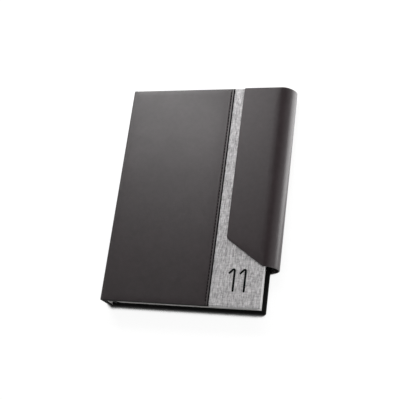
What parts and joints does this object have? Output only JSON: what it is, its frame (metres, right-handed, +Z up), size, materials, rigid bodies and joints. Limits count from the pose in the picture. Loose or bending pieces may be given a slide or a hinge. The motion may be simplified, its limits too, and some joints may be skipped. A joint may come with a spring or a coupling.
{
  "type": "planner",
  "caption": "Hardcover planner: hinged leather and linen case round a sewn page block, with a wrap-round magnetic closing flap at the fore edge.",
  "frame": {"origin": "centre of the base of the shut planner, on the surface that its back cover lies on", "axes": "+X from the spine to the fore edge and its flap, +Y from the tail to the head, +Z up through the thickness to the front cover"},
  "size_m": [0.1604, 0.21, 0.026],
  "materials": {
    "pu_leather": "matt charcoal polyurethane leather, fine grain",
    "linen": "heathered grey linen book cloth",
    "black_cloth": "black cloth lining",
    "greyboard": "pressed grey board",
    "black_paper": "black endpaper",
    "white_paper": "plain pale lining paper",
    "page_paper": "off-white writing paper",
    "foam": "thin padding sheet",
    "steel": "plated disc"
  },
  "bodies": {
    "case_and_block": {"spine_board": "greyboard", "spine_leather": "pu_leather", "spine_lining": "white_paper", "back_board": "greyboard", "back_leather": "pu_leather", "back_endpaper": "black_paper", "signature_01": "page_paper", "signature_02": "page_paper", "signature_03": "page_paper", "signature_04": "page_paper", "signature_05": "page_paper", "signature_06": "page_paper", "signature_07": "page_paper", "signature_08": "page_paper", "signature_09": "page_paper", "signature_10": "page_paper", "signature_11": "page_paper", "mull": "black_cloth", "tail_band": "black_cloth", "head_band": "black_cloth", "gusset_leather": "pu_leather", "gusset_lining_lower": "black_cloth"},
    "front_cover": {"front_board": "greyboard", "front_pad": "foam", "front_leather": "pu_leather", "front_fabric": "linen", "front_pastedown": "black_paper", "keeper_plate_1": "steel", "keeper_plate_2": "steel"},
    "closing_flap": {"gusset_lining_upper": "black_cloth", "flap_leather": "pu_leather", "flap_card": "greyboard", "flap_lining": "black_cloth", "flap_magnet_1": "steel", "flap_magnet_2": "steel"},
    "flyleaf": {"front_flyleaf": "black_paper"},
    "leaves_1": {"first_leaves": "page_paper"},
    "leaves_2": {"second_leaves": "page_paper"}
  },
  "joints": [
    {"name": "cover_open", "type": "hinge", "parent": "case_and_block", "child": "front_cover", "pos_m": [-0.07845, 0, 0.0251], "axis": [0, -1, 0], "range_deg": [0, 188]},
    {"name": "flap_open", "type": "hinge", "parent": "case_and_block", "child": "closing_flap", "pos_m": [0.08035, 0, 0.0126], "axis": [0, 1, 0], "range_deg": [0, 175]},
    {"name": "flyleaf_turn", "type": "hinge", "parent": "case_and_block", "child": "flyleaf", "pos_m": [-0.0694, 0, 0.02055], "axis": [0, -1, 0], "range_deg": [0, 145]},
    {"name": "leaves_1_turn", "type": "hinge", "parent": "case_and_block", "child": "leaves_1", "pos_m": [-0.0694, 0, 0.02055], "axis": [0, -1, 0], "range_deg": [0, 139]},
    {"name": "leaves_2_turn", "type": "hinge", "parent": "case_and_block", "child": "leaves_2", "pos_m": [-0.0694, 0, 0.02055], "axis": [0, -1, 0], "range_deg": [0, 132]}
  ],
  "couplings": [
    {"joint": "flyleaf_turn", "follows": "cover_open", "ratio": 0.77},
    {"joint": "leaves_1_turn", "follows": "cover_open", "ratio": 0.735},
    {"joint": "leaves_2_turn", "follows": "cover_open", "ratio": 0.7}
  ]
}
